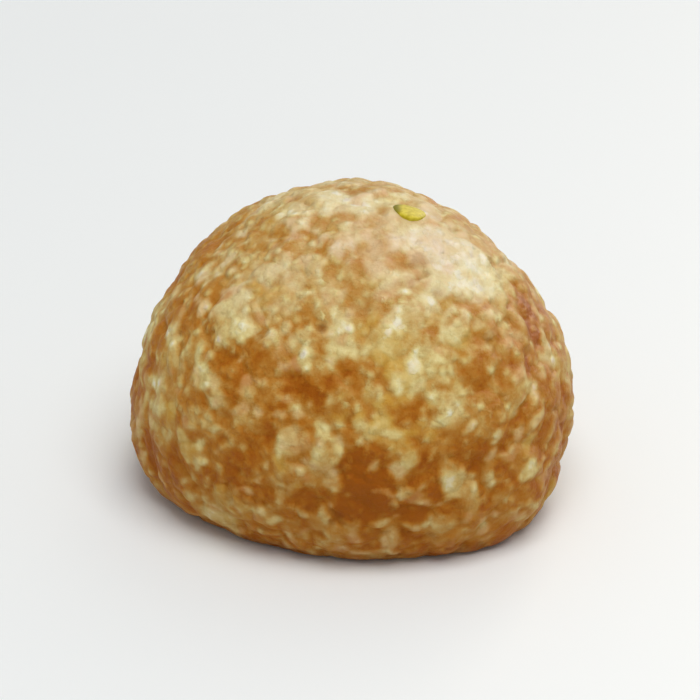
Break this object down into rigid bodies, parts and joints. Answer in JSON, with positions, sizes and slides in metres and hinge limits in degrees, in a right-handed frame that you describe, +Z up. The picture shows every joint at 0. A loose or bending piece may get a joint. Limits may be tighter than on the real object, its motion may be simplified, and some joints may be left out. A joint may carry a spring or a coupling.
{
  "type": "ladoo",
  "caption": "Hand-rolled ladoo, a squat ball of pressed sweet crumb with a flat foot and a pistachio chip in its crown, for a plate or sweet box.",
  "frame": {"origin": "middle of the bounding box of the sweet on the plane that its flat foot rests on", "axes": "+Z up out of the foot, +X to the right of the pictured side, which faces -Y"},
  "size_m": [0.052, 0.0506, 0.0362],
  "materials": {
    "pressed_crumb": "pale milk crumb marbled with clear amber syrup crumb, bound with ghee, moist satin",
    "pistachio": "yellow green nut, satin"
  },
  "bodies": {
    "root": {"ladoo": "pressed_crumb"}
  },
  "joints": []
}
